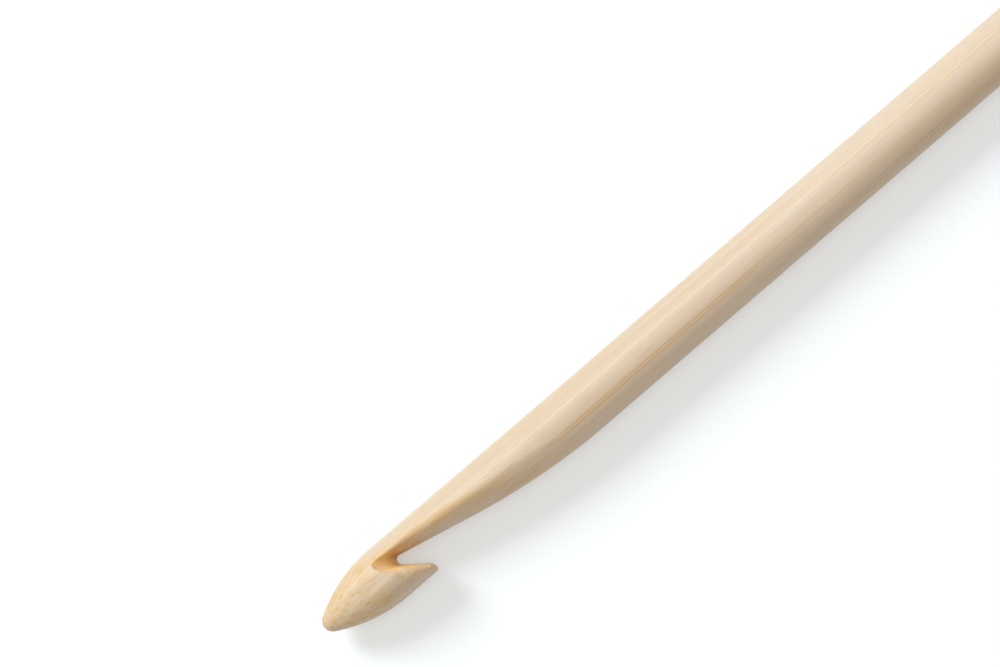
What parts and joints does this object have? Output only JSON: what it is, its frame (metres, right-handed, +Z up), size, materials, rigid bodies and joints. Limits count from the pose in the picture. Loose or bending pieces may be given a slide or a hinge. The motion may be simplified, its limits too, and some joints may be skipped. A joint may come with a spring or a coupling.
{
  "type": "crochet hook",
  "caption": "Solid bamboo crochet hook with a pointed in-line head, a slanted throat, a tapered neck and a plain round shaft with a rounded butt.",
  "frame": {"origin": "under the middle of the hook's length, on the surface that it lies on", "axes": "+X along the shaft from the nose to the butt, +Y towards the unbroken back, -Y the side that the throat opens on, +Z up"},
  "size_m": [0.15, 0.0082, 0.0082],
  "materials": {
    "bamboo": "satin"
  },
  "bodies": {
    "root": {"bamboo_hook": "bamboo"}
  },
  "joints": []
}
